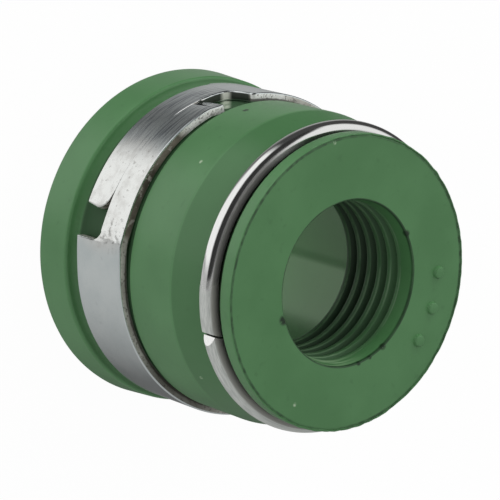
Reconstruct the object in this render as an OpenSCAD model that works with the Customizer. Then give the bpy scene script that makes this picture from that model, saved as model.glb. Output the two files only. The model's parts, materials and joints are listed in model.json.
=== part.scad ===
// Valve stem seal. A moulded rubber body is held on the valve guide by a steel band clip,
// and a split wire ring keeps its ribbed bore tight on the valve stem.
// The guide end stands on Z = 0, the stem end is at the top, and Z is the axis of both bores.

/* [Body] */
// Overall height from the guide end to the stem end
seal_h = 17; // [15:0.1:20]
// Diameter of the plain cylinder above the clip
body_d = 19.2; // [18:0.1:22]
// Rounding of the outer edges
edge_round = 0.2; // [0.05:0.05:0.3]

/* [Flange at the guide end] */
// How far the foot of the flange stands out from the body
flange_rim = 0.85; // [0.5:0.05:1.5]
// How far the flange draws in from its foot to its top
flange_draft = 0.17; // [0:0.01:0.3]
// Height of the flange
flange_h = 2.6; // [1.5:0.1:3.5]
// Radius of the hollow between the flange and the floor of the clip groove
flange_hollow = 0.65; // [0.2:0.05:1]

/* [Clip groove] */
// Depth of the groove floor below the body
groove_depth = 0.2; // [0.1:0.05:0.6]
// Room in the groove below the strip
groove_room_low = 0.18; // [0:0.02:0.6]
// Room in the groove above the strip
groove_room_high = 0.4; // [0:0.02:0.8]

/* [Band clip] */
// Width of the strip
band_w = 4.45; // [3:0.05:5.5]
// Thickness of the strip
band_t = 0.6; // [0.3:0.05:0.9]
// Space between the strip and the groove floor
band_gap = 0.02; // [0:0.01:0.1]
// Place of the middle of the lap, as an angle about the axis
lap_at = 268.5; // [0:0.5:360]
// Angle of the lap, from the root of one tongue to the root of the other
lap_angle = 77; // [50:1:110]
// Angle of the notch past the tip of the lower tongue
low_notch = 11.5; // [6:0.5:16]
// Angle of the notch past the tip of the upper tongue
high_notch = 13.5; // [6:0.5:16]
// Height of the slit between the tongues, above the lower edge of the strip
slit_up = 2.25; // [1.4:0.05:3]
// Width of the slit between the tongues
slit_w = 0.08; // [0.04:0.02:0.3]
// How far the notches are cut past the slit
notch_past = 0.05; // [0.02:0.01:0.2]
// How far the free edge of the lower tongue is set in
tongue_set_in = 0.2; // [0.05:0.05:0.6]
// Rounding of the tongues and of the corners of the notches
tongue_round = 0.65; // [0.2:0.05:0.8]

/* [Shoulder and lip at the stem end] */
// Height of the cone between the body and the wire ring
shoulder_h = 2.1; // [1:0.1:3]
// Diameter of the lip
lip_d = 17.8; // [16:0.1:18.8]
// Height of the lip
lip_h = 0.85; // [0.4:0.05:1.5]
// Room between the wire ring and the lip
lip_room = 0.55; // [0.1:0.05:1]

/* [Wire ring] */
// Diameter of the wire
wire_d = 1.12; // [0.7:0.02:1.5]
// Space between the wire and its seat
wire_gap = 0.02; // [0:0.01:0.1]
// Depth of the middle of the wire below the lip
wire_sink = 0.05; // [0:0.01:0.3]
// Width of the cut in the ring
cut_w = 0.12; // [0.05:0.01:0.5]
// Place of the cut, as an angle about the axis
cut_at = 332; // [0:1:360]
// Turn of the cut away from the straight way out, seen along the axis
cut_turn = 32; // [0:1:45]

/* [Stem bore] */
// Diameter across the sealing ribs
stem_d = 9.6; // [7:0.1:10.5]
// How much wider the mouth is than the ribs, on the radius
mouth_flare = 0.2; // [0.05:0.05:0.6]
// Height of the ribbed bore, from the stem end to the guide bore
stem_bore_h = 6.5; // [4:0.1:8]
// Depth of the first rib below the stem end
first_rib = 1.1; // [0.8:0.05:1.6]
// Spacing of the ribs
rib_pitch = 0.94; // [0.7:0.02:1.4]
// Width of the flat on each rib
rib_land = 0.3; // [0.1:0.02:0.4]
// Depth of the grooves between the ribs
rib_depth = 0.42; // [0.2:0.02:0.6]
// Width of the bottom of the grooves
rib_root = 0.2; // [0.05:0.05:0.25]
// Height of the relief below the last rib
relief_h = 0.5; // [0.2:0.05:1]
// Widening of the bore at the relief, on the radius
relief_flare = 0.6; // [0.2:0.05:1]

/* [Guide bore] */
// Diameter of the bore that presses on the valve guide
guide_d = 13.6; // [12.5:0.1:15]
// Chamfer at the mouth of the guide bore
guide_chamfer = 0.6; // [0.2:0.05:1]
// Rounding of the corner at the top of the guide bore
guide_corner = 0.4; // [0.1:0.05:0.6]

/* [Hidden] */
$fn = 96;
arc_steps = 6;
rubber_green = [0.30, 0.45, 0.30];
strip_grey = [0.66, 0.68, 0.67];
wire_grey = [0.78, 0.78, 0.77];
// Extra reach of a cutting shape past what it cuts
past = 1;

// Radii of the outside
body_r = body_d / 2;
flange_foot_r = body_r + flange_rim;
flange_top_r = flange_foot_r - flange_draft;
groove_r = body_r - groove_depth;
lip_r = lip_d / 2;
flange_hollow_r = min(flange_hollow, flange_top_r - groove_r - edge_round);
groove_edge = min(edge_round, groove_depth) / 2;

// Strip of the clip, in the groove
band_r = groove_r + band_gap;
band_low = flange_h + flange_hollow_r + groove_room_low;
band_high = band_low + band_w;
groove_top = band_high + groove_room_high;

// Tongues and notches of the strip
slit_low = band_low + slit_up - slit_w / 2;
slit_high = slit_low + slit_w;
low_root = lap_at - lap_angle / 2;
high_root = lap_at + lap_angle / 2;
low_tip = high_root - low_notch;
high_tip = low_root + high_notch;

// Wire ring and its seat
wire_r = wire_d / 2;
seat_r = wire_r + wire_gap;
ring_r = lip_r - wire_sink;
lip_low = seal_h - lip_h;
ring_z = lip_low - lip_room - wire_r;
lip_edge = [lip_r, lip_low];
seat = [ring_r, ring_z];
// The seat starts at the edge of the shoulder and ends where the wall from the lip touches it
seat_start = -acos(wire_sink / seat_r);
to_lip = lip_edge - seat;
seat_end = atan2(to_lip.y, to_lip.x) + acos(seat_r / norm(to_lip)) - 360;
body_top = ring_z - seat_r - shoulder_h;

// Ribs of the stem bore
stem_r = stem_d / 2;
stem_bore_low = seal_h - stem_bore_h;
rib_count = 1 + floor((stem_bore_h - first_rib - rib_land / 2 - relief_h) / rib_pitch);
guide_r = guide_d / 2;

// Points of an arc about a centre, from one angle to another
function arc(centre, r, from, to) = [
    for (i = [0:arc_steps])
        let (a = from + (to - from) * i / arc_steps)
            centre + r * [cos(a), sin(a)]
];

// Height of the middle of a rib, counted from the stem end
function rib_z(i) = seal_h - first_rib - i * rib_pitch;

// The groove below a rib, from the edge of its flat to the edge of the next one
function rib_groove(i) =
    let (
        top = rib_z(i) - rib_land / 2,
        bottom = rib_z(i + 1) + rib_land / 2,
        middle = (top + bottom) / 2
    ) [
        [stem_r, top],
        [stem_r + rib_depth, middle + rib_root / 2],
        [stem_r + rib_depth, middle - rib_root / 2],
        [stem_r, bottom]
    ];

// Outside of the body, from the guide end up to the stem end
function outer_side() = concat(
    arc([flange_foot_r - edge_round, edge_round], edge_round, -90, 0),
    arc([flange_top_r - edge_round, flange_h - edge_round], edge_round, 0, 90),
    arc([groove_r + flange_hollow_r, flange_h + flange_hollow_r], flange_hollow_r, 270, 180),
    [[groove_r, groove_top]],
    arc([body_r - groove_edge, groove_top + groove_edge], groove_edge, -90, 0),
    [[body_r, body_top]],
    arc(seat, seat_r, seat_start, seat_end),
    [lip_edge],
    arc([lip_r - edge_round / 2, seal_h - edge_round / 2], edge_round / 2, 0, 90)
);

// Inside of the body, from the stem end down to the guide end
function inner_side() = concat(
    [[stem_r + mouth_flare, seal_h], [stem_r, rib_z(0) + rib_land / 2]],
    [for (i = [0:rib_count - 2]) each rib_groove(i)],
    [
        [stem_r, rib_z(rib_count - 1) - rib_land / 2],
        [stem_r + relief_flare, stem_bore_low]
    ],
    arc([guide_r - guide_corner, stem_bore_low - guide_corner], guide_corner, 90, 0),
    [[guide_r, guide_chamfer], [guide_r + guide_chamfer, 0]]
);

// A stretch of the strip's wall between two angles and two heights, made thicker for cutting
module wall_stretch(from, to, low, high, extra = past) {
    rotate([0, 0, from])
        rotate_extrude(angle = to - from)
            translate([band_r - extra, low])
                square([band_t + 2 * extra, high - low]);
}

// What a rounding takes off a square corner, set through the strip's wall and reaching a little past it.
// side is +1 or -1 for the way round that the corner points, and rise for the way up.
module corner_sliver(at, z, side, rise) {
    reach = slit_w / 2;
    sliver = concat(
        arc([-tongue_round, -tongue_round], tongue_round + reach / 2, 90, 0),
        [[reach, -tongue_round], [reach, reach], [-tongue_round, reach]]
    );
    rotate([0, 0, at])
        translate([band_r - 2 * past, 0, z])
            rotate([90, 0, 90])
                linear_extrude(band_t + 4 * past)
                    polygon([for (p = sliver) [side * p.x, rise * p.y]]);
}

// The notch past the tip of the lower tongue, with a rounded corner under the upper tongue
module low_notch_cut() {
    difference() {
        wall_stretch(low_tip, high_root, band_low - past, slit_high + notch_past);
        corner_sliver(high_root, slit_high + notch_past, 1, 1);
    }
}

// The notch past the tip of the upper tongue, with a rounded corner above the lower tongue
module high_notch_cut() {
    difference() {
        wall_stretch(low_root, high_tip, slit_low - notch_past, band_high + past);
        corner_sliver(low_root, slit_low - notch_past, -1, -1);
    }
}

module seal_body() {
    color(rubber_green)
        rotate_extrude()
            polygon(concat(outer_side(), inner_side()));
}

module band_clip() {
    color(strip_grey)
        difference() {
            wall_stretch(0, 360, band_low, band_high, 0);
            low_notch_cut();
            high_notch_cut();
            wall_stretch(low_root + high_notch / 2, high_root - low_notch / 2, slit_low, slit_high);
            wall_stretch(low_root, low_tip + low_notch / 2, band_low - past, band_low + tongue_set_in);
            corner_sliver(low_tip, slit_low, 1, 1);
            corner_sliver(high_tip, slit_high, -1, -1);
        }
}

module wire_ring() {
    color(wire_grey)
        difference() {
            rotate_extrude()
                translate(seat)
                    circle(wire_r);
            rotate([0, 0, cut_at])
                translate([ring_r, 0, ring_z])
                    rotate([0, 0, -cut_turn])
                        cube([3 * wire_d, cut_w, 2 * wire_d], center = true);
        }
}

seal_body();
band_clip();
wire_ring();
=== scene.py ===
import json
import math

import bmesh
import bpy
from mathutils import Matrix, Vector, noise


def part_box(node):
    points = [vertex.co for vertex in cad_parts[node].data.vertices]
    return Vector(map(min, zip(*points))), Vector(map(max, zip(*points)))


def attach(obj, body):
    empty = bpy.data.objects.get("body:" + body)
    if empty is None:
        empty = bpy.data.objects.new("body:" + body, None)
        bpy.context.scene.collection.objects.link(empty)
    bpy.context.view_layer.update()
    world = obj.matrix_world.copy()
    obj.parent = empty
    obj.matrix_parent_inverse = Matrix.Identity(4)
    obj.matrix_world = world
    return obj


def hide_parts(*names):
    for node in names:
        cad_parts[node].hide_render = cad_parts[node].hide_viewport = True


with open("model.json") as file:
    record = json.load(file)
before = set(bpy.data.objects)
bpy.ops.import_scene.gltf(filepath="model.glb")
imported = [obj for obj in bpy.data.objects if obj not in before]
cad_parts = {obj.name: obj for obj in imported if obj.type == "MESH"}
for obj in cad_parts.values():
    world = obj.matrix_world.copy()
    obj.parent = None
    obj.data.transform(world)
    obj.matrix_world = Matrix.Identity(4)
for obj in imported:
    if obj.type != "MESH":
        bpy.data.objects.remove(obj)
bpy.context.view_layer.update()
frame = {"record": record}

MM = 0.001

# Sizes that the frame gives
body_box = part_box("seal_body")
strip_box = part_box("band_clip")
ring_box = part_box("wire_ring")
bores = {mount["name"]: mount["dims"] for mount in frame["record"]["mounts"]}
SEAL_H = body_box[1][2]
FLANGE_FOOT_R = body_box[1][0]
STRIP_LOW = strip_box[0][2]
STRIP_HIGH = strip_box[1][2]
STRIP_OUT_R = strip_box[1][0]
WIRE_R = (ring_box[1][2] - ring_box[0][2]) / 2
RING_Z = (ring_box[1][2] + ring_box[0][2]) / 2
RING_R = ring_box[1][0] - WIRE_R
STEM_R = bores["stem_bore"]["r_mm"] * MM
GUIDE_R = bores["guide_bore"]["r_mm"] * MM

# Outside of the body
FLANGE_TOP_R = FLANGE_FOOT_R - 0.17 * MM
FLANGE_H = 2.6 * MM
FLANGE_HOLLOW = 0.65 * MM
GROOVE_R = 9.4 * MM
GROOVE_TOP = 8.28 * MM
BODY_R = 9.6 * MM
BODY_TOP = 12.36 * MM
LIP_R = 8.9 * MM
LIP_LOW = 16.15 * MM
EDGE_ROUND = 0.2 * MM

# The wire's seat, from one angle in the section to another. Its two roundings stop just short of each other.
SEAT_R = WIRE_R + 0.02 * MM
SEAT_START = -85
SEAT_END = -214
SEAT_ROUND_SHARE = 0.98

# Thin ridge of flash round the stem end, with a nip inside it
FLASH_H = 0.03 * MM
FLASH_W = 0.04 * MM
NIP_DEPTH = 0.04 * MM
NIP_W = 0.16 * MM

# Inside of the body
MOUTH_R = STEM_R + 0.2 * MM
RIB_COUNT = 6
RIB_TOP = 15.9 * MM
RIB_PITCH = 0.94 * MM
RIB_LAND = 0.3 * MM
RIB_DEPTH = 0.42 * MM
RIB_ROOT = 0.2 * MM
RIB_ROUND = 0.05 * MM
STEM_BORE_LOW = 10.5 * MM
RELIEF_R = STEM_R + 0.6 * MM
GUIDE_CORNER = 0.4 * MM
GUIDE_CHAMFER = 0.6 * MM

# Unevenness of the moulding
WAVE_DEPTH = 0.012 * MM
WAVE_LENGTH = 2.4 * MM
RAGGED_DEPTH = 0.05 * MM
RAGGED_LENGTH = 0.45 * MM

# Band clip, with its roots, tips, bends and stretches as angles. The shift, a share of a stretch,
# keeps the cuts between the stretches off the corners of the outline.
STRIP_T = 0.6 * MM
STRIP_IN_R = STRIP_OUT_R - STRIP_T
STRIP_MID_R = STRIP_OUT_R - STRIP_T / 2
SLIT_UP = 2.24 * MM
SLIT_W = 0.006 * MM
SLIT_SLANT = 0.45 * MM
TONGUE_SET_IN = 0.2 * MM
TONGUE_ROUND = 0.65 * MM
NOTCH_ROUND = 1.35 * MM
NOTCH_DIP = 0.14 * MM
NOTCH_DIP_AT = 237
NOTCH_START = 242.6
NOTCH_LIP_ROUND = 0.3 * MM
SHEAR_ROUND = 0.08 * MM
LOW_ROOT = 228.5
HIGH_ROOT = 307
LOW_TIP = 295.5
HIGH_TIP = 242.2
STRIP_STRETCH = 2
STRETCH_SHIFT = 0.37
STRIP_CORNER = 60
BURR_ROUND = 0.09 * MM
SLIT_BURR_ROUND = 0.008 * MM
LOW_TONGUE_LIFT = 0.03 * MM
LOW_TONGUE_BEND = 14
HIGH_TONGUE_LIFT = -0.15 * MM
HIGH_TONGUE_BEND = 6
KINK_LIFT = 0.14 * MM
KINK_SPREAD = 11
KINK_FALL = 1.5
TIP_BULGE = 0.14 * MM
TIP_ROUND = 1.15 * MM
HIGH_TIP_SLANT = 0.16 * MM

# Wire ring
CUT_AT = 332
CUT_TURN = 32
CUT_SLANT = math.tan(math.radians(CUT_TURN))
CUT_FADE = 2.0 * MM
CUT_W = 0.12 * MM
CHIP_DEPTH = 0.33 * MM
CHIP_TURN = 34

# Raised dots on the stem end
DOT_RING_R = 7.0 * MM
DOT_ANGLES = (99.5, 117, 135)
DOT_R = 0.42 * MM
DOT_TAPER = 0.8
DOT_H = 0.17 * MM
DOT_SINK = 0.1 * MM
DOT_ROUND = 0.06 * MM

# Fineness of the meshes, and the gap between points below which they are merged
TURN_STEPS = 288
CIRCLE_STEPS = 32
ROUND_STEPS = 4
LARGE_ROUND = 0.6 * MM
LARGE_ROUND_STEPS = 8
BURR_STEPS = 3
MERGE_GAP = 0.0005 * MM

# Angles between faces past which an edge is shaded sharp
RUBBER_SHARP = 40
STEEL_SHARP = 30

# Camera, as an angle round the object from -Y, a height above the horizon and a roll
CAMERA_AZIMUTH = 27.0
CAMERA_ELEVATION = 49.95
CAMERA_ROLL = 106.42
CAMERA_DISTANCE = 166.16 * MM
CAMERA_TARGET = Vector((0.016, -0.566, 8.048)) * MM
CAMERA_LENS = 196.4
CAMERA_SENSOR = 36
CAMERA_NEAR = 5 * MM


def about_axis(radius, angle, height=0.0):
    """The point at a radius, an angle and a height about the Z axis."""
    turn = math.radians(angle)
    return Vector((radius * math.cos(turn), radius * math.sin(turn), height))


def smooth_step(value, low, high):
    """0 at low, 1 at high, and a smooth rise between them."""
    share = min(max((value - low) / (high - low), 0.0), 1.0)
    return share * share * (3 - 2 * share)


def rounded_outline(bm, corners):
    """A flat face in the XZ plane through corners (x, z, rounding), each rounded by its own amount."""
    verts = [bm.verts.new((x, 0, z)) for x, z, rounding in corners]
    bm.faces.new(verts)
    for vert, (x, z, rounding) in zip(verts, corners):
        if rounding > 0:
            steps = LARGE_ROUND_STEPS if rounding > LARGE_ROUND else ROUND_STEPS
            bmesh.ops.bevel(
                bm, geom=[vert], offset=rounding, offset_type="OFFSET", affect="VERTICES",
                segments=steps, profile=0.5, material=-1,
            )


def add_piece(bm, name, materials, replaced=None, sharp=RUBBER_SHARP):
    """Makes the bmesh a finished piece of the object, shaded smooth up to the sharp angle."""
    mesh = bpy.data.meshes.new(name)
    bm.to_mesh(mesh)
    bm.free()
    for material in materials:
        mesh.materials.append(material)
    mesh.shade_smooth()
    mesh.set_sharp_from_angle(angle=math.radians(sharp))
    piece = bpy.data.objects.new(name, mesh)
    bpy.context.scene.collection.objects.link(piece)
    shading = piece.modifiers.new("even_shading", "WEIGHTED_NORMAL")
    shading.keep_sharp = True
    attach(piece, "root")
    if replaced:
        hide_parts(replaced)


class Field:
    """A socket of a node tree. Arithmetic on fields adds Math nodes to the tree."""

    def __init__(self, tree, socket=None):
        self.tree = tree
        self.socket = socket

    def node(self, kind, settings=None, sockets=None, output=0):
        """A new node of that kind with its settings, then its sockets' values or links.
        What comes back is the field of one of its outputs."""
        made = self.tree.nodes.new(kind)
        for name, value in (settings or {}).items():
            if name == "stops":
                set_stops(made.color_ramp, value)
            else:
                setattr(made, name, value)
        for name, value in (sockets or {}).items():
            if isinstance(value, Field):
                self.tree.links.new(value.socket, made.inputs[name])
            else:
                made.inputs[name].default_value = value
        return Field(self.tree, made.outputs[output]) if made.outputs else None

    def other(self, output):
        """Another output of the same node."""
        return Field(self.tree, self.socket.node.outputs[output])

    def math(self, operation, first, second):
        """A Math node of two values."""
        return self.node("ShaderNodeMath", {"operation": operation}, {0: first, 1: second})

    def __add__(self, other):
        return self.math("ADD", self, other)

    def __radd__(self, other):
        return self.math("ADD", other, self)

    def __sub__(self, other):
        return self.math("SUBTRACT", self, other)

    def __rsub__(self, other):
        return self.math("SUBTRACT", other, self)

    def __mul__(self, other):
        return self.math("MULTIPLY", self, other)

    def __rmul__(self, other):
        return self.math("MULTIPLY", other, self)

    def __pow__(self, other):
        return self.math("POWER", self, other)

    def fraction(self):
        """What is left of the field past its last whole number."""
        return self.node("ShaderNodeMath", {"operation": "FRACT"}, {0: self})

    def rise(self, low, high):
        """0 where the field is below low, 1 above high, and smooth between them."""
        settings = {"interpolation_type": "SMOOTHSTEP"}
        return self.node("ShaderNodeMapRange", settings, {"Value": self, "From Min": low, "From Max": high})

    def within(self, low, high, soft):
        """1 where the field is between low and high, fading to 0 over a soft margin outside them."""
        return self.rise(low - soft, low) * (1 - self.rise(high, high + soft))

    def blend(self, other, share):
        """This colour mixed towards another colour by a share."""
        return self.node("ShaderNodeMix", {"data_type": "RGBA"}, {0: share, 6: self, 7: other}, 2)

    def between(self, dark, pale):
        """A colour from dark where the field is 0 to pale where it is 1."""
        return self.node("ShaderNodeMix", {"data_type": "RGBA"}, {0: self, 6: dark, 7: pale}, 2)

    def noise(self, scale, detail=2.0, stretch=(1, 1, 1)):
        """Cloudy noise from 0 to 1 read at this vector, with its scale in lumps per metre."""
        place = self.node("ShaderNodeVectorMath", {"operation": "MULTIPLY"}, {0: self, 1: stretch})
        return self.node("ShaderNodeTexNoise", {}, {"Vector": place, "Scale": scale, "Detail": detail})

    def near(self, point, size, core=0.4):
        """1 round a point, falling to 0 at a distance of size from it.
        The core is the share of size that stays 1."""
        gap = self.node("ShaderNodeVectorMath", {"operation": "DISTANCE"}, {0: self, 1: point}, "Value")
        return 1 - gap.rise(core * size, size)

    def split(self):
        """The three parts of this vector."""
        first = self.node("ShaderNodeSeparateXYZ", {}, {0: self})
        return first, first.other(1), first.other(2)

    def bump(self, strength, distance):
        """The normal of a surface raised by this field."""
        sockets = {"Strength": strength, "Distance": distance, "Height": self}
        return self.node("ShaderNodeBump", {}, sockets, "Normal")


def set_stops(ramp, stops):
    """Gives a colour ramp its stops, each a position and a grey."""
    while len(ramp.elements) < len(stops):
        ramp.elements.new(1.0)
    for element, (position, grey) in zip(ramp.elements, stops):
        element.position = position
        element.color = colour(grey, grey, grey)


def colour(red, green, blue):
    """An opaque colour."""
    return (red, green, blue, 1.0)


def start_material(name):
    """A new material with an empty tree, and the field of its Object coordinates."""
    material = bpy.data.materials.new(name)
    material.use_nodes = True
    tree = material.node_tree
    tree.nodes.clear()
    return material, Field(tree).node("ShaderNodeTexCoord", {}, {}, "Object")


def finish_material(place, sockets):
    """Ends a material's tree in a Principled shader with these sockets."""
    shader = place.node("ShaderNodeBsdfPrincipled", {}, sockets)
    place.node("ShaderNodeOutputMaterial", {}, {"Surface": shader})


# A painted highlight across the notch past the upper tip, on the notch's wall and as its painted reflection
# on the groove floor: a point in its middle, the way across it, half its width, the fade of its sides, how
# far it reaches and the share of that before it fades
NOTCH_GLINT_AT = about_axis(9.7 * MM, 234.6, 6.6 * MM)
NOTCH_GLINT_ACROSS = Vector((-0.585, 0.526, 0.617))
NOTCH_GLINT_HALF_W = 0.06 * MM
NOTCH_GLINT_FADE = 0.34 * MM
NOTCH_GLINT_LENGTH = 1.3 * MM
NOTCH_GLINT_CORE = 0.8


def notch_glint(place):
    """1 on the painted highlight across the notch, fading at its sides and ends."""
    sockets = {0: place, 1: NOTCH_GLINT_ACROSS}
    across = place.node("ShaderNodeVectorMath", {"operation": "DOT_PRODUCT"}, sockets, "Value")
    middle = NOTCH_GLINT_AT.dot(NOTCH_GLINT_ACROSS)
    sides = across.within(middle - NOTCH_GLINT_HALF_W, middle + NOTCH_GLINT_HALF_W, NOTCH_GLINT_FADE)
    return sides * place.near(NOTCH_GLINT_AT, NOTCH_GLINT_LENGTH, NOTCH_GLINT_CORE)


# Small marks of handling on the rubber, each a radius, an angle, a height and a size, in mm and degrees
DARK_NICKS = (
    (5.12, 334, 17.0, 0.42), (4.98, 166, 16.95, 0.34), (5.02, 80, 16.95, 0.3), (9.6, 239, 9.45, 0.26),
    (5.03, 57, 16.95, 0.22), (5.03, 67, 16.95, 0.2),
)
PALE_SPECKS = (
    (7.78, 16.5, 17.0, 0.18), (8.62, 236, 17.0, 0.16), (9.6, 270, 11.1, 0.16), (9.45, 352, 12.9, 0.14),
    (9.5, 234.2, 8.3, 0.14),
)

# Zones of the rubber, as radii or heights: two limits that a mask rises between,
# or a zone's two limits and the fade past them
OUTSIDE_R = (7.5 * MM, 7.8 * MM)
CONE_Z = (12.42 * MM, 14.3 * MM, 0.06 * MM)
CLIP_GROOVE_R = (9.5 * MM, 9.6 * MM)
CLIP_GROOVE_Z = (3.0 * MM, 8.2 * MM, 0.3 * MM)
WIRE_GROOVE_R = (7.9 * MM, 8.82 * MM, 0.06 * MM)
WIRE_GROOVE_Z = (14.5 * MM, 16.05 * MM, 0.1 * MM)
NIP_ZONE_R = (LIP_R - 0.22 * MM, LIP_R - 0.08 * MM, 0.05 * MM)
NIP_ZONE_Z = (16.9 * MM, 16.95 * MM)
MOUTH_EDGE_R = (MOUTH_R - 0.04 * MM, MOUTH_R + 0.06 * MM, 0.03 * MM)
MOUTH_EDGE_Z = (16.75 * MM, 16.85 * MM)
RIBS_R = (6.0 * MM, 6.1 * MM)
RIBS_Z = (10.7 * MM, 16.0 * MM, 0.2 * MM)
RIB_GROOVE_R = (STEM_R + 0.04 * MM, STEM_R + 0.1 * MM)
RIB_DEEP_Z = (12.0 * MM, 16.2 * MM)
RIB_CREST = (0.1, 0.17, 0.03)
FUNNEL_R = (MOUTH_R - 0.03 * MM, MOUTH_R)
FUNNEL_Z = (16.0 * MM, 16.1 * MM)
GUIDE_WALL_R = (6.9 * MM, 7.0 * MM)
GUIDE_WALL_Z = (10.2 * MM, 10.4 * MM)

# The lit side of the mouth, where highlights are painted on the rib crests and the funnel: a point in its
# middle, its size and the share of that before it fades
MOUTH_HIGHLIGHT_AT = about_axis(STEM_R, 25, 16.2 * MM)
MOUTH_HIGHLIGHT_SIZE = 3.6 * MM
MOUTH_HIGHLIGHT_CORE = 0.3


def make_rubber():
    """Semi-matte green moulded rubber: clouds, fine grain, dust, painted shade on the cone and in the
    grooves, bore, mouth and nip, painted highlights on the rib crests, the mouth and the notch, a few nicks,
    and a smooth guide bore whose wall is painted a brighter green."""
    material, place = start_material("green_rubber")
    x, y, z = place.split()
    radius = (x * x + y * y) ** 0.5
    clouds = place.noise(260, 4)
    grain = place.noise(5200, 3)
    pores = place.noise(1700, 2)
    rings = place.noise(300, 4, (1, 1, 22))
    tint = clouds.rise(0.3, 0.7).between(colour(0.055, 0.160, 0.057), colour(0.066, 0.182, 0.068))
    tint = tint.blend(colour(0.04, 0.118, 0.042), pores.rise(0.62, 0.8) * 0.4)
    cells = place.node("ShaderNodeTexVoronoi", {}, {"Vector": place, "Scale": 420}, "Distance")
    pick = cells.other("Color").split()[0]
    dust = (1 - cells.rise(0.05, 0.1)) * pick.rise(0.88, 0.92)
    tint = tint.blend(colour(0.3, 0.38, 0.28), dust * 0.6)
    outside = radius.rise(*OUTSIDE_R)
    on_cone = outside * z.within(*CONE_Z)
    clip_groove = outside * (1 - radius.rise(*CLIP_GROOVE_R)) * z.within(*CLIP_GROOVE_Z)
    wire_groove = radius.within(*WIRE_GROOVE_R) * z.within(*WIRE_GROOVE_Z)
    nip = radius.within(*NIP_ZONE_R) * z.rise(*NIP_ZONE_Z)
    mouth = radius.within(*MOUTH_EDGE_R) * z.rise(*MOUTH_EDGE_Z)
    ribbed = (1 - radius.rise(*RIBS_R)) * z.within(*RIBS_Z)
    grooved = ribbed * radius.rise(*RIB_GROOVE_R)
    deep = 1 - z.rise(*RIB_DEEP_Z)
    above_rib = ((z - RIB_TOP) * (1 / RIB_PITCH) + 0.5).fraction() - 0.5
    crest = ribbed * (1 - grooved) * above_rib.within(*RIB_CREST)
    funnel = (1 - radius.rise(*FUNNEL_R)) * z.rise(*FUNNEL_Z)
    guide_wall = (1 - radius.rise(*GUIDE_WALL_R)) * (1 - z.rise(*GUIDE_WALL_Z))
    mouth_highlight = place.near(MOUTH_HIGHLIGHT_AT, MOUTH_HIGHLIGHT_SIZE, MOUTH_HIGHLIGHT_CORE)
    # Patchiness of the painted shadow lines along the nip and round the mouth's edge.
    patchy = clouds.rise(0.25, 0.55)
    # Painted shade: the cone is darkened to stand in for the lesser light it gets.
    tint = tint.blend(colour(0.036, 0.112, 0.038), on_cone * 0.6)
    # Painted shade: the groove under the strip, seen in its notches, is darkened where shade falls.
    tint = tint.blend(colour(0.010, 0.034, 0.012), clip_groove * 0.8)
    # Painted shade in the wire's seat, in the gap between the wire and the lip.
    tint = tint.blend(colour(0.006, 0.012, 0.007), wire_groove * 0.9)
    # Painted shade in the ribbed stem bore, darker deeper down, and darker still in the rib grooves.
    tint = tint.blend(colour(0.018, 0.064, 0.020), ribbed * (0.2 + deep * 0.4))
    tint = tint.blend(colour(0.009, 0.038, 0.011), grooved * (0.2 + deep * 0.55))
    # Painted highlight on the rib crests, patchy, and stronger on the lit side of the mouth.
    tint = tint.blend(colour(0.20, 0.30, 0.19), crest * (clouds.rise(0.4, 0.65) * 0.45 + mouth_highlight * 0.4))
    # Painted shade in the mouth's funnel.
    tint = tint.blend(colour(0.035, 0.105, 0.037), funnel * 0.35)
    # Painted highlight in rings on the lit side of the funnel.
    tint = tint.blend(colour(0.22, 0.36, 0.20), funnel * mouth_highlight * rings.rise(0.4, 0.6) * 0.8)
    # Painted shadow lines, patchy: along the nip inside the rim, and round the edge of the mouth.
    tint = tint.blend(colour(0.016, 0.050, 0.018), nip * patchy * (0.35 + pores.rise(0.4, 0.6) * 0.5))
    tint = tint.blend(colour(0.010, 0.032, 0.012), mouth * patchy * 0.85)
    # Painted light: the guide bore's wall is lifted towards a brighter green.
    tint = tint.blend(colour(0.06, 0.26, 0.065), guide_wall * 0.25)
    nicked = colour(0.006, 0.02, 0.007), grain.rise(0.3, 0.5)
    specked = colour(0.3, 0.4, 0.27), grain.rise(0.35, 0.6)
    for marks, (shade, speckle) in ((DARK_NICKS, nicked), (PALE_SPECKS, specked)):
        for mark_radius, angle, height, size in marks:
            spot = place.near(about_axis(mark_radius * MM, angle, height * MM), size * MM)
            tint = tint.blend(shade, spot * speckle)
    # Painted reflection of the notch's highlight on the groove floor.
    mirrored_glint = notch_glint(place) * clip_groove * (0.25 + pores.rise(0.25, 0.6) * 0.6)
    tint = tint.blend(colour(0.40, 0.45, 0.36), mirrored_glint)
    height = grain * 0.6 + pores * 0.8
    moulded = place.node("ShaderNodeBsdfPrincipled", {}, {
        "Base Color": tint,
        "Roughness": 0.27 + clouds * 0.1 + grain * 0.06 + clip_groove * 0.4 + ribbed * 0.2,
        "Normal": height.bump(0.2, 0.02 * MM),
    })
    smooth = place.node("ShaderNodeBsdfPrincipled", {}, {
        "Base Color": tint,
        "Roughness": 0.05 + clouds * 0.05,
        "Specular IOR Level": 1.0,
        "Specular Tint": colour(0.72, 1.0, 0.67),
    })
    shader = place.node("ShaderNodeMixShader", {}, {0: guide_wall, 1: moulded, 2: smooth})
    place.node("ShaderNodeOutputMaterial", {}, {"Surface": shader})
    return material


def slit_height(angle):
    """The height of the middle of the slit, which climbs a little towards the upper tongue's tip."""
    return STRIP_LOW + SLIT_UP + SLIT_SLANT * (HIGH_ROOT - angle) / (HIGH_ROOT - HIGH_TIP)


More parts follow.
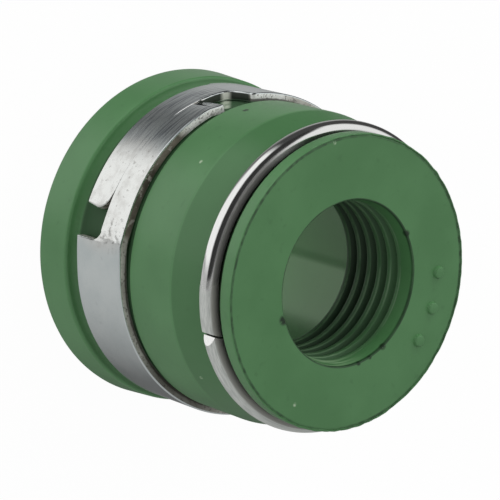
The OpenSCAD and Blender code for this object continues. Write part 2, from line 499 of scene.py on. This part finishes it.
# Patches of the strip's finish and of its painted highlights and shade, each an angle, a height, a size and
# the share of it before it fades
SLIT_GLINT_PATCH = (247, 6.1 * MM, 1.6 * MM, 0.6)
DRAWN_PATCH = (253, 5.9 * MM, 4.2 * MM, 0.4)
LAPPED_PATCH = (289, 5.7 * MM, 4.3 * MM, 0.7)
CRUMPLED_PATCH = (303, 7.0 * MM, 1.4 * MM, 0.4)
TIP_PATCH = (246, STRIP_HIGH, 3.2 * MM, 0.6)
DARK_LAP_PATCH = (283, STRIP_HIGH, 3.9 * MM, 0.85)
EDGE_HIGHLIGHT_PATCH = (236, STRIP_HIGH, 4.4 * MM, 0.8)
EDGE_SHADE_PATCH = (10, STRIP_HIGH, 4.4 * MM, 0.4)

# Half the width of the painted highlight on the burr beside the slit, and its fade
SLIT_GLINT_HALF_W = 0.03 * MM
SLIT_GLINT_FADE = 0.02 * MM

# Painted shade in the notch past the upper tip: a point in its middle, its size and the share of that before
# it fades
NOTCH_AT = about_axis(9.8 * MM, 236, 6.6 * MM)
NOTCH_SIZE = 1.8 * MM
NOTCH_CORE = 0.85

# Heights between which the walls of the notch end and the top edge of the strip starts
TOP_EDGE_Z = (7.6 * MM, 7.75 * MM)

# Radii between which the darker part of a cut edge next to the body ends, and how ragged its limit is
DARK_NEAR_BODY_R = (9.68 * MM, 9.76 * MM)
DARK_NEAR_BODY_RAGGED = 0.12 * MM


def strip_patch(place, angle, height, size, core):
    """1 on a patch of the strip's outside, fading to 0 round it."""
    return place.near(about_axis(STRIP_OUT_R, angle, height), size, core)


def make_strip_steel():
    """Bright rolled strip: soft smudges, small dents and pits, crumpled at the crease
    and drawn near the upper tongue, with a painted highlight along the burr beside the slit."""
    material, place = start_material("strip_steel")
    x, y, z = place.split()
    turn = y.math("ARCTAN2", y, x)
    slit_climb = SLIT_SLANT / math.radians(HIGH_ROOT - HIGH_TIP)
    # Painted highlight: a near-white, less metallic line along the burr beside the slit.
    above_slit = z + turn * slit_climb - slit_height(360)
    burr_glint = above_slit.within(-SLIT_GLINT_HALF_W, SLIT_GLINT_HALF_W, SLIT_GLINT_FADE)
    burr_glint = burr_glint * strip_patch(place, *SLIT_GLINT_PATCH)
    smudges = place.noise(420, 4)
    dents = place.noise(1500, 3)
    pits = place.noise(3300, 4)
    streaks = place.noise(420, 5, (1, 1, 16))
    drawn = strip_patch(place, *DRAWN_PATCH)
    lapped = strip_patch(place, *LAPPED_PATCH)
    crumpled = strip_patch(place, *CRUMPLED_PATCH)
    tint = smudges.rise(0.3, 0.7).between(colour(0.68, 0.74, 0.738), colour(0.765, 0.815, 0.808))
    tint = tint.blend(colour(0.82, 0.815, 0.785), lapped * 0.7)
    tint = tint.blend(colour(0.2, 0.22, 0.26), streaks.rise(0.46, 0.62) * drawn * 0.7)
    tint = tint.blend(colour(0.58, 0.575, 0.55), dents.rise(0.45, 0.7) * lapped * 0.5)
    tint = tint.blend(colour(0.24, 0.23, 0.21), pits.rise(0.6, 0.75) * (0.1 + lapped * 0.4))
    tint = tint.blend(colour(0.16, 0.16, 0.15), pits.rise(0.54, 0.62) * crumpled * 0.45)
    tint = tint.blend(colour(0.96, 0.96, 0.95), burr_glint)
    height = dents * (0.12 + lapped * 0.3 + crumpled * 7) + pits * 0.15 + streaks * drawn * 0.5
    finish_material(place, {
        "Base Color": tint,
        "Metallic": 1.0 - burr_glint * 0.7,
        "Roughness": 0.14 + smudges * 0.08 + dents * 0.06 + burr_glint * 0.2,
        "Normal": height.bump(0.25, 0.04 * MM),
    })
    return material


def make_sheared_steel():
    """The strip's cut edges: dull burnished metal with dark specks, darker near the body and darker and
    browner at the lap, with a painted highlight and painted shade on stretches of the top edge, painted shade
    in the notch and a painted highlight streak across the notch's wall."""
    material, place = start_material("sheared_steel")
    x, y, z = place.split()
    radius = (x * x + y * y) ** 0.5
    lumps = place.noise(2600, 4)
    scores = place.noise(900, 4)
    specks = place.noise(6200, 2)
    on_top = z.rise(*TOP_EDGE_Z)
    at_tip = strip_patch(place, *TIP_PATCH)
    dark_near_body = (1 - (radius + lumps * DARK_NEAR_BODY_RAGGED).rise(*DARK_NEAR_BODY_R)) * (1 - at_tip * 0.8)
    dark_at_lap = strip_patch(place, *DARK_LAP_PATCH)
    edge_highlight = strip_patch(place, *EDGE_HIGHLIGHT_PATCH) * on_top
    edge_shade = strip_patch(place, *EDGE_SHADE_PATCH)
    notch_shade = place.near(NOTCH_AT, NOTCH_SIZE, NOTCH_CORE) * (1 - on_top)
    tint = scores.rise(0.3, 0.7).between(colour(0.40, 0.39, 0.35), colour(0.56, 0.55, 0.51))
    # Painted highlight on the top edge near the notch.
    tint = tint.blend(colour(0.78, 0.78, 0.76), edge_highlight)
    tint = tint.blend(colour(0.05, 0.045, 0.035), dark_near_body * 0.8)
    tint = tint.blend(colour(0.06, 0.05, 0.04), lumps.rise(0.58, 0.68) * 0.5)
    tint = tint.blend(colour(0.06, 0.05, 0.04), specks.rise(0.56, 0.66) * 0.6)
    lap_tint = scores.rise(0.3, 0.8).between(colour(0.07, 0.062, 0.048), colour(0.24, 0.215, 0.175))
    lap_tint = lap_tint.blend(colour(0.42, 0.40, 0.36), (1 - lumps.rise(0.34, 0.42)) * 0.7)
    tint = tint.blend(lap_tint, dark_at_lap)
    # Painted shade on the cut edges on one side of the ring.
    tint = tint.blend(colour(0.05, 0.045, 0.035), edge_shade * 0.7)
    # Painted shade on the walls of the notch.
    tint = tint.blend(colour(0.010, 0.018, 0.011), notch_shade * 0.97)
    # Painted highlight streak across the notch's wall.
    tint = tint.blend(colour(0.62, 0.64, 0.57), notch_glint(place) * 0.9)
    finish_material(place, {
        "Base Color": tint,
        "Metallic": 0.35 - notch_shade * 0.3,
        "Roughness": 0.36 + lumps * 0.2,
        "Normal": lumps.bump(0.4, 0.03 * MM),
    })
    return material


# The polished side of the ring: the angle of its middle, how far it reaches from there,
# the fade of its limit and how ragged that is
POLISHED_AT = 221
POLISHED_REACH = 92
POLISHED_FADE = (-0.4 * MM, 0.7 * MM)
POLISHED_RAGGED = 2.4 * MM

# How much finer the drawn lines are across the wire than along it
WIRE_LINES = 14

# Painted shade on the side of the wire next to the lip, and where it is left off
LIP_SHADE_Z = (RING_Z + 0.46 * MM, RING_Z + 0.53 * MM)
UNSHADED_AT = about_axis(RING_R, 215, RING_Z + WIRE_R)
UNSHADED_SIZE = 7.6 * MM
UNSHADED_CORE = 0.5


def make_wire_steel():
    """Drawn wire with fine lines along it: polished on one side of the ring, and duller on the other, with
    painted shade next to the lip.
    """
    material, place = start_material("wire_steel")
    x, y, z = place.split()
    radius = (x * x + y * y) ** 0.5
    section = place.node("ShaderNodeCombineXYZ", {}, {0: radius * WIRE_LINES, 1: z * WIRE_LINES, 2: x + y})
    lines = section.noise(1100, 4)
    scuffs = place.noise(900, 3)
    middle = about_axis(1, POLISHED_AT)
    edge = RING_R * math.cos(math.radians(POLISHED_REACH))
    ahead = x * middle.x + y * middle.y + (scuffs - 0.5) * POLISHED_RAGGED
    polished = ahead.rise(edge + POLISHED_FADE[0], edge + POLISHED_FADE[1])
    tint = lines.rise(0.35, 0.65).between(colour(0.50, 0.525, 0.50), colour(0.66, 0.68, 0.65))
    tint = tint.blend(colour(0.88, 0.88, 0.87), polished * 0.8)
    # Painted shade on the side of the wire next to the lip, darker on the polished side.
    by_lip = z.rise(*LIP_SHADE_Z) * (1 - place.near(UNSHADED_AT, UNSHADED_SIZE, UNSHADED_CORE))
    lip_shade = polished.between(colour(0.22, 0.215, 0.195), colour(0.08, 0.075, 0.07))
    tint = tint.blend(lip_shade, by_lip * 0.85)
    finish_material(place, {
        "Base Color": tint,
        "Metallic": (0.55 + polished * 0.45) * (1 - by_lip * 0.6),
        "Roughness": 0.4 - polished * 0.32 + scuffs * 0.06,
        "Normal": lines.bump(0.16, 0.02 * MM),
    })
    return material


def make_fresh_steel():
    """The bare metal of the wire's cut corner, with fine tool lines."""
    material, place = start_material("fresh_steel")
    lines = place.noise(2400, 3, (1, 1, 5))
    tint = lines.rise(0.3, 0.7).between(colour(0.86, 0.86, 0.84), colour(0.95, 0.95, 0.94))
    finish_material(place, {
        "Base Color": tint,
        "Metallic": 1.0,
        "Roughness": 0.16 + lines * 0.1,
        "Normal": lines.bump(0.1, 0.01 * MM),
    })
    return material


def seat_corners():
    """The two corners whose roundings follow the wire in its seat."""
    quarter = math.radians(SEAT_END - SEAT_START) / 4
    reach = SEAT_R / math.cos(quarter)
    rounding = SEAT_ROUND_SHARE * SEAT_R * abs(math.tan(quarter))
    corners = []
    for share in (1, 3):
        angle = math.radians(SEAT_START) + share * quarter
        corners.append((RING_R + reach * math.cos(angle), RING_Z + reach * math.sin(angle), rounding))
    return corners


def rib_corners():
    """The corners of the ribs in the stem bore, from the top one down."""
    corners = []
    for count in range(RIB_COUNT):
        middle = RIB_TOP - count * RIB_PITCH
        corners.append((STEM_R, middle + RIB_LAND / 2, RIB_ROUND))
        corners.append((STEM_R, middle - RIB_LAND / 2, RIB_ROUND))
        if count < RIB_COUNT - 1:
            root = middle - RIB_PITCH / 2
            corners.append((STEM_R + RIB_DEPTH, root + RIB_ROOT / 2, RIB_ROUND))
            corners.append((STEM_R + RIB_DEPTH, root - RIB_ROOT / 2, RIB_ROUND))
    return corners


def build_body(rubber):
    """The rubber body: half a section with rounded corners, spun about the axis and made a little uneven."""
    shoulder = about_axis(SEAT_R, SEAT_START)
    nip_r = LIP_R - FLASH_W - NIP_W / 2
    corners = [
        (FLANGE_FOOT_R, 0, EDGE_ROUND),
        (FLANGE_TOP_R, FLANGE_H, EDGE_ROUND),
        (GROOVE_R, FLANGE_H, FLANGE_HOLLOW),
        (GROOVE_R, GROOVE_TOP, 0),
        (BODY_R, GROOVE_TOP, EDGE_ROUND / 2),
        (BODY_R, BODY_TOP, EDGE_ROUND),
        (RING_R + shoulder.x, RING_Z + shoulder.y, 0),
        *seat_corners(),
        (LIP_R, LIP_LOW, EDGE_ROUND / 4),
        (LIP_R, SEAL_H, FLASH_H),
        (LIP_R - FLASH_W, SEAL_H, FLASH_H / 2),
        (nip_r, SEAL_H - FLASH_H - NIP_DEPTH, 0),
        (nip_r - NIP_W / 2, SEAL_H - FLASH_H, 0),
        (MOUTH_R, SEAL_H - FLASH_H, EDGE_ROUND / 3),
        *rib_corners(),
        (RELIEF_R, STEM_BORE_LOW, RIB_ROUND),
        (GUIDE_R, STEM_BORE_LOW, GUIDE_CORNER),
        (GUIDE_R, GUIDE_CHAMFER, RIB_ROUND),
        (GUIDE_R + GUIDE_CHAMFER, 0, RIB_ROUND),
    ]
    bm = bmesh.new()
    rounded_outline(bm, corners)
    bmesh.ops.delete(bm, geom=bm.faces[:], context="FACES_ONLY")
    bmesh.ops.spin(
        bm, geom=bm.verts[:] + bm.edges[:], cent=(0, 0, 0), axis=(0, 0, 1),
        angle=math.tau, steps=TURN_STEPS, use_merge=True,
    )
    bmesh.ops.remove_doubles(bm, verts=bm.verts[:], dist=MERGE_GAP)
    bmesh.ops.recalc_face_normals(bm, faces=bm.faces[:])
    for vert in bm.verts:
        outward = Vector((vert.co.x, vert.co.y, 0)).normalized()
        at_rim = smooth_step(vert.co.z, LIP_LOW, SEAL_H)
        at_rim *= smooth_step(vert.co.xy.length, nip_r - NIP_W, nip_r)
        vert.co += outward * noise.noise(vert.co / WAVE_LENGTH) * WAVE_DEPTH
        vert.co += outward * noise.noise(vert.co / RAGGED_LENGTH) * RAGGED_DEPTH * at_rim
    add_piece(bm, "rubber_body", [rubber], "seal_body")


def strip_lift(angle):
    """How far the strip stands off the groove at an angle along it.
    There is a crease at the upper root, and the tongues' ends are bent."""
    low_tip = LOW_TIP + 360
    lift = HIGH_TONGUE_LIFT * smooth_step(-angle, -HIGH_TIP - HIGH_TONGUE_BEND, -HIGH_TIP)
    lift += LOW_TONGUE_LIFT * smooth_step(angle, low_tip - LOW_TONGUE_BEND, low_tip)
    for crease in (HIGH_ROOT, HIGH_ROOT + 360):
        lift += KINK_LIFT * max(0.0, 1 - abs(angle - crease) / KINK_SPREAD) ** KINK_FALL
    return lift


def strip_rim(bm, beside_slit):
    """The sharp edges of the flat strip along its outline, either those beside the slit or all the others."""
    along = math.radians(1) * STRIP_MID_R
    rim = []
    for edge in bm.edges:
        start, end = (vert.co for vert in edge.verts)
        is_sharp = edge.calc_face_angle(0) > math.radians(STRIP_CORNER)
        is_across = abs(start.y - end.y) > STRIP_T / 2
        is_beside = all(abs(at.z - slit_height(at.x / along % 360)) < SLIT_BURR_ROUND for at in (start, end))
        if is_sharp and not is_across and is_beside == beside_slit:
            rim.append(edge)
    return rim


def build_strip(face_steel, edge_steel):
    """The band clip: its flat outline, cut across into short stretches, thickened
    and bent round the groove."""
    along = math.radians(1) * STRIP_MID_R
    low_root = (LOW_ROOT + 360) * along
    low_tip = (LOW_TIP + 360) * along
    high_root = HIGH_ROOT * along
    high_tip = HIGH_TIP * along
    low_edge = STRIP_LOW + TONGUE_SET_IN
    low_tip_slit = slit_height(LOW_TIP) - SLIT_W / 2
    notch_start = (NOTCH_START + 360) * along
    notch_dip = (NOTCH_DIP_AT + 360) * along
    corners = [
        (high_tip, slit_height(HIGH_TIP) + SLIT_W / 2, TONGUE_ROUND / 2),
        (high_root, slit_height(HIGH_ROOT) + SLIT_W / 2, TONGUE_ROUND),
        (high_root, STRIP_LOW, SHEAR_ROUND),
        (low_root, STRIP_LOW, SHEAR_ROUND),
        (low_root, low_edge, SHEAR_ROUND),
        (low_tip, low_edge, SHEAR_ROUND),
        (low_tip + TIP_BULGE, (low_edge + low_tip_slit) / 2, SHEAR_ROUND),
        (low_tip, low_tip_slit, TIP_ROUND),
        (notch_start, slit_height(NOTCH_START) - SLIT_W / 2, TONGUE_ROUND / 2),
        (notch_dip, slit_height(NOTCH_DIP_AT) - NOTCH_DIP, TONGUE_ROUND),
        (low_root, slit_height(LOW_ROOT) - NOTCH_DIP / 2, NOTCH_ROUND),
        (low_root, STRIP_HIGH, NOTCH_LIP_ROUND),
        (high_tip - HIGH_TIP_SLANT, STRIP_HIGH, SHEAR_ROUND),
    ]
    bm = bmesh.new()
    rounded_outline(bm, corners)
    stretches = round((low_tip - high_tip) / (STRIP_STRETCH * along))
    for count in range(1, stretches + 1):
        cut = high_tip + (count - STRETCH_SHIFT) * (low_tip - high_tip) / stretches
        bmesh.ops.bisect_plane(
            bm, geom=bm.verts[:] + bm.edges[:] + bm.faces[:], plane_co=(cut, 0, 0), plane_no=(1, 0, 0),
        )
    thick = bmesh.ops.extrude_face_region(bm, geom=bm.faces[:])
    thick_verts = [part for part in thick["geom"] if isinstance(part, bmesh.types.BMVert)]
    bmesh.ops.translate(bm, vec=(0, STRIP_T, 0), verts=thick_verts)
    bmesh.ops.recalc_face_normals(bm, faces=bm.faces[:])
    for flat in bm.faces:
        flat.material_index = 0 if abs(flat.normal.y) > 0.5 else 1
    for beside_slit, rounding in ((True, SLIT_BURR_ROUND), (False, BURR_ROUND)):
        bmesh.ops.bevel(
            bm, geom=strip_rim(bm, beside_slit), offset=rounding, offset_type="OFFSET", affect="EDGES",
            segments=BURR_STEPS, profile=0.5, material=0,
        )
    bmesh.ops.remove_doubles(bm, verts=bm.verts[:], dist=MERGE_GAP)
    for vert in bm.verts:
        angle = vert.co.x / along
        vert.co = about_axis(STRIP_IN_R + vert.co.y + strip_lift(angle), angle, vert.co.z)
    bmesh.ops.recalc_face_normals(bm, faces=bm.faces[:])
    if bm.calc_volume(signed=True) < 0:
        bmesh.ops.reverse_faces(bm, faces=bm.faces[:])
    add_piece(bm, "lapped_strip", [face_steel, edge_steel], "band_clip", STEEL_SHARP)


def build_wire(steel, fresh_steel):
    """The wire ring: a circle spun almost all the way round, with slanting ends, one of them chipped."""
    half_cut = math.degrees(CUT_W / 2 / RING_R) / math.cos(math.radians(CUT_TURN))
    bm = bmesh.new()
    bmesh.ops.create_circle(bm, cap_ends=False, radius=WIRE_R, segments=CIRCLE_STEPS)
    upright = Matrix.Rotation(math.pi / 2, 3, "X")
    bmesh.ops.rotate(bm, verts=bm.verts[:], cent=(0, 0, 0), matrix=upright)
    bmesh.ops.translate(bm, verts=bm.verts[:], vec=(RING_R, 0, RING_Z))
    to_cut = Matrix.Rotation(math.radians(CUT_AT + half_cut), 3, "Z")
    bmesh.ops.rotate(bm, verts=bm.verts[:], cent=(0, 0, 0), matrix=to_cut)
    bmesh.ops.spin(
        bm, geom=bm.verts[:] + bm.edges[:], cent=(0, 0, 0), axis=(0, 0, 1),
        angle=math.radians(360 - 2 * half_cut), steps=2 * TURN_STEPS,
    )
    for vert in bm.verts:
        angle = math.degrees(math.atan2(vert.co.y, vert.co.x))
        from_cut = (angle - CUT_AT + 180) % 360 - 180
        share = 1 - smooth_step(abs(math.radians(from_cut)) * RING_R, 0, CUT_FADE)
        radius = vert.co.xy.length
        shift = math.degrees((RING_R - radius) * CUT_SLANT * share / RING_R)
        vert.co = about_axis(radius, angle + shift, vert.co.z)
    bmesh.ops.holes_fill(bm, edges=[edge for edge in bm.edges if edge.is_boundary], sides=0)
    chip_wire_end(bm, CUT_AT + half_cut)
    bmesh.ops.recalc_face_normals(bm, faces=bm.faces[:])
    add_piece(bm, "split_wire", [steel, fresh_steel], "wire_ring", STEEL_SHARP)


def chip_wire_end(bm, end_angle):
    """Takes the outer corner off the wire's end at an angle, with a flat slanting cut."""
    inset = WIRE_R - CHIP_DEPTH
    turned_back = math.degrees(inset * CUT_SLANT / RING_R)
    corner = about_axis(RING_R + inset, end_angle - turned_back, RING_Z)
    slope = about_axis(1, end_angle - CHIP_TURN)
    reach = 4 * WIRE_R
    side = [
        face for face in bm.faces
        if (face.calc_center_median() - corner).length < reach and is_past_cut(face)
    ]
    parts = set(side)
    for face in side:
        parts.update(face.edges)
        parts.update(face.verts)
    bmesh.ops.bisect_plane(bm, geom=list(parts), plane_co=corner, plane_no=slope, clear_outer=True)
    chip = bmesh.ops.holes_fill(bm, edges=[edge for edge in bm.edges if edge.is_boundary], sides=0)
    for face in chip["faces"]:
        face.material_index = 1


def is_past_cut(face):
    """Whether a face of the wire lies on the side of the cut with the larger angles."""
    middle = face.calc_center_median()
    cut_angle = CUT_AT + math.degrees((RING_R - middle.xy.length) * CUT_SLANT / RING_R)
    angle = math.degrees(math.atan2(middle.y, middle.x))
    return (angle - cut_angle + 180) % 360 - 180 > 0


def build_dots(rubber):
    """Three small raised dots in a row on the stem end."""
    bm = bmesh.new()
    for angle in DOT_ANGLES:
        place = Matrix.Translation(about_axis(DOT_RING_R, angle, SEAL_H + (DOT_H - DOT_SINK) / 2))
        dot = bmesh.ops.create_cone(
            bm, cap_ends=True, segments=CIRCLE_STEPS, radius1=DOT_R, radius2=DOT_TAPER * DOT_R,
            depth=DOT_H + DOT_SINK, matrix=place,
        )
        top = [vert for vert in dot["verts"] if vert.co.z > SEAL_H]
        brim = [edge for edge in bm.edges if edge.verts[0] in top and edge.verts[1] in top]
        bmesh.ops.bevel(
            bm, geom=brim, offset=DOT_ROUND, offset_type="OFFSET", affect="EDGES",
            segments=BURR_STEPS, profile=0.5, material=-1,
        )
    bmesh.ops.recalc_face_normals(bm, faces=bm.faces[:])
    add_piece(bm, "raised_dots", [rubber])


def add_camera():
    """The camera at the viewing angle, rolled so that the seal lies on its side in the picture."""
    azimuth = math.radians(CAMERA_AZIMUTH)
    elevation = math.radians(CAMERA_ELEVATION)
    roll = math.radians(CAMERA_ROLL)
    level = Vector((math.cos(azimuth), math.sin(azimuth), 0))
    back = about_axis(math.cos(elevation), CAMERA_AZIMUTH - 90, math.sin(elevation))
    right = level * math.cos(roll) + back.cross(level) * math.sin(roll)
    data = bpy.data.cameras.new("camera")
    data.lens = CAMERA_LENS
    data.sensor_width = CAMERA_SENSOR
    data.clip_start = CAMERA_NEAR
    camera = bpy.data.objects.new("camera", data)
    turn = Matrix((right, back.cross(right), back)).transposed().to_4x4()
    camera.matrix_world = Matrix.Translation(CAMERA_TARGET + back * CAMERA_DISTANCE) @ turn
    bpy.context.scene.collection.objects.link(camera)
    bpy.context.scene.camera = camera


# Lamps, each a name, an angle round the object, a height above the horizon, a distance, a size and a power
LAMPS = (
    ("side_lamp", 203, 8, 0.2, 0.12, 0.25),
    ("front_lamp", 312, 8, 0.25, 0.15, 0.15),
    ("top_lamp", 200, 65, 0.25, 0.2, 0.14),
)


def add_lamp(name, angle, elevation, distance, size, power):
    """A square soft lamp at an angle round the object and a height above the horizon, turned towards it."""
    data = bpy.data.lights.new(name, "AREA")
    data.size = size
    data.energy = power
    lamp = bpy.data.objects.new(name, data)
    away = about_axis(math.cos(math.radians(elevation)), angle, math.sin(math.radians(elevation)))
    lamp.location = Vector((0, 0, SEAL_H / 2)) + away * distance
    lamp.rotation_euler = away.to_track_quat("Z", "Y").to_euler()
    lamp.visible_glossy = False
    bpy.context.scene.collection.objects.link(lamp)


# The floor: its size and grey, and how much of it glows white for the camera and for soft light
FLOOR_SIZE = 3.0
FLOOR_GREY = 0.8
FLOOR_WHITE_SHARE = 0.97
FLOOR_GLOW_SHARE = 1.0


def add_floor():
    """A pale light table, white to the camera but for a faint shadow.
    Polished surfaces mirror the studio past it."""
    bm = bmesh.new()
    bmesh.ops.create_grid(bm, x_segments=1, y_segments=1, size=FLOOR_SIZE / 2)
    mesh = bpy.data.meshes.new("floor")
    bm.to_mesh(mesh)
    bm.free()
    floor = bpy.data.objects.new("floor", mesh)
    bpy.context.scene.collection.objects.link(floor)
    material, place = start_material("pale_floor")
    mesh.materials.append(material)
    sees = place.node("ShaderNodeLightPath", {}, {}, "Is Camera Ray")
    shines = sees.other("Is Glossy Ray")
    through = sees.other("Is Transmission Ray")
    lights = sees.other("Is Diffuse Ray")
    lit = place.node("ShaderNodeBsdfDiffuse", {}, {"Color": colour(FLOOR_GREY, FLOOR_GREY, FLOOR_GREY)})
    white = place.node("ShaderNodeEmission", {}, {"Strength": 1.0})
    clear = place.node("ShaderNodeBsdfTransparent")
    share = (sees + through) * FLOOR_WHITE_SHARE + lights * FLOOR_GLOW_SHARE
    shown = place.node("ShaderNodeMixShader", {}, {0: share, 1: lit, 2: white})
    shown = place.node("ShaderNodeMixShader", {}, {0: shines, 1: shown, 2: clear})
    place.node("ShaderNodeOutputMaterial", {}, {"Surface": shown})


# Even light, the side that it is weakest from, how much weaker it is there and how that fades
WORLD_LIGHT = 0.87
DIM_SIDE = about_axis(1, 30)
DIM_SHARE = 0.4
DIM_RISE = (0.1, 0.9)

# Brightness of the studio in reflections, by the share of a turn from -X: low down, level and high up
STUDIO_LOW = (
    (0.0, 0.36), (0.06, 0.24), (0.085, 0.14), (0.13, 0.17), (0.155, 0.26), (0.178, 0.52), (0.2, 0.92),
    (0.22, 1.0), (0.352, 1.0), (0.366, 0.4), (0.378, 0.4), (0.39, 0.57), (0.44, 0.53), (0.51, 0.48),
    (0.56, 0.41), (0.62, 0.3), (0.69, 0.14), (0.76, 0.12), (0.82, 0.3), (0.91, 0.46), (1.0, 0.36),
)
STUDIO_LEVEL = (
    (0.0, 0.06), (0.12, 0.06), (0.15, 1.0), (0.353, 1.0), (0.38, 0.5), (0.6, 0.45), (0.8, 0.3), (0.84, 0.06),
    (1.0, 0.06),
)
STUDIO_HIGH = (
    (0.0, 0.9), (0.032, 0.9), (0.052, 0.03), (0.395, 0.03), (0.418, 0.5), (0.6, 0.5), (0.75, 0.35),
    (0.85, 0.4), (0.9, 0.9), (1.0, 0.9),
)
# Heights between which low turns into level, and level into high
LEVEL_RISE = (-0.7, -0.5)
HIGH_RISE = (0.1, 0.35)


def set_world():
    """Soft light all round, white past the floor, and a studio of pale and dark sides in reflections."""
    world = bpy.data.worlds.new("studio")
    world.use_nodes = True
    tree = world.node_tree
    tree.nodes.clear()
    bpy.context.scene.world = world
    way = Field(tree).node("ShaderNodeTexCoord", {}, {}, "Generated")
    x, y, z = way.split()
    sees = way.node("ShaderNodeLightPath", {}, {}, "Is Camera Ray")
    shines = sees.other("Is Glossy Ray")
    turn = way.node("ShaderNodeTexGradient", {"gradient_type": "RADIAL"}, {"Vector": way}, 1)
    low, level, high = (
        way.node("ShaderNodeValToRGB", {"stops": stops}, {"Fac": turn})
        for stops in (STUDIO_LOW, STUDIO_LEVEL, STUDIO_HIGH)
    )
    studio = low.blend(level, z.rise(*LEVEL_RISE)).blend(high, z.rise(*HIGH_RISE))
    dim = (x * DIM_SIDE.x + y * DIM_SIDE.y).rise(*DIM_RISE)
    even = way.node("ShaderNodeBackground", {}, {"Strength": WORLD_LIGHT * (1 - dim * DIM_SHARE)})
    mirrored = way.node("ShaderNodeBackground", {}, {"Color": studio, "Strength": 1.0})
    white = way.node("ShaderNodeBackground", {}, {"Strength": 1.0})
    light = way.node("ShaderNodeMixShader", {}, {0: shines, 1: even, 2: mirrored})
    light = way.node("ShaderNodeMixShader", {}, {0: sees, 1: light, 2: white})
    way.node("ShaderNodeOutputWorld", {}, {"Surface": light})


green_rubber = make_rubber()
build_body(green_rubber)
build_strip(make_strip_steel(), make_sheared_steel())
build_wire(make_wire_steel(), make_fresh_steel())
build_dots(green_rubber)
add_camera()
for lamp_sizes in LAMPS:
    add_lamp(*lamp_sizes)
add_floor()
set_world()
bpy.context.scene.view_settings.view_transform = "Standard"
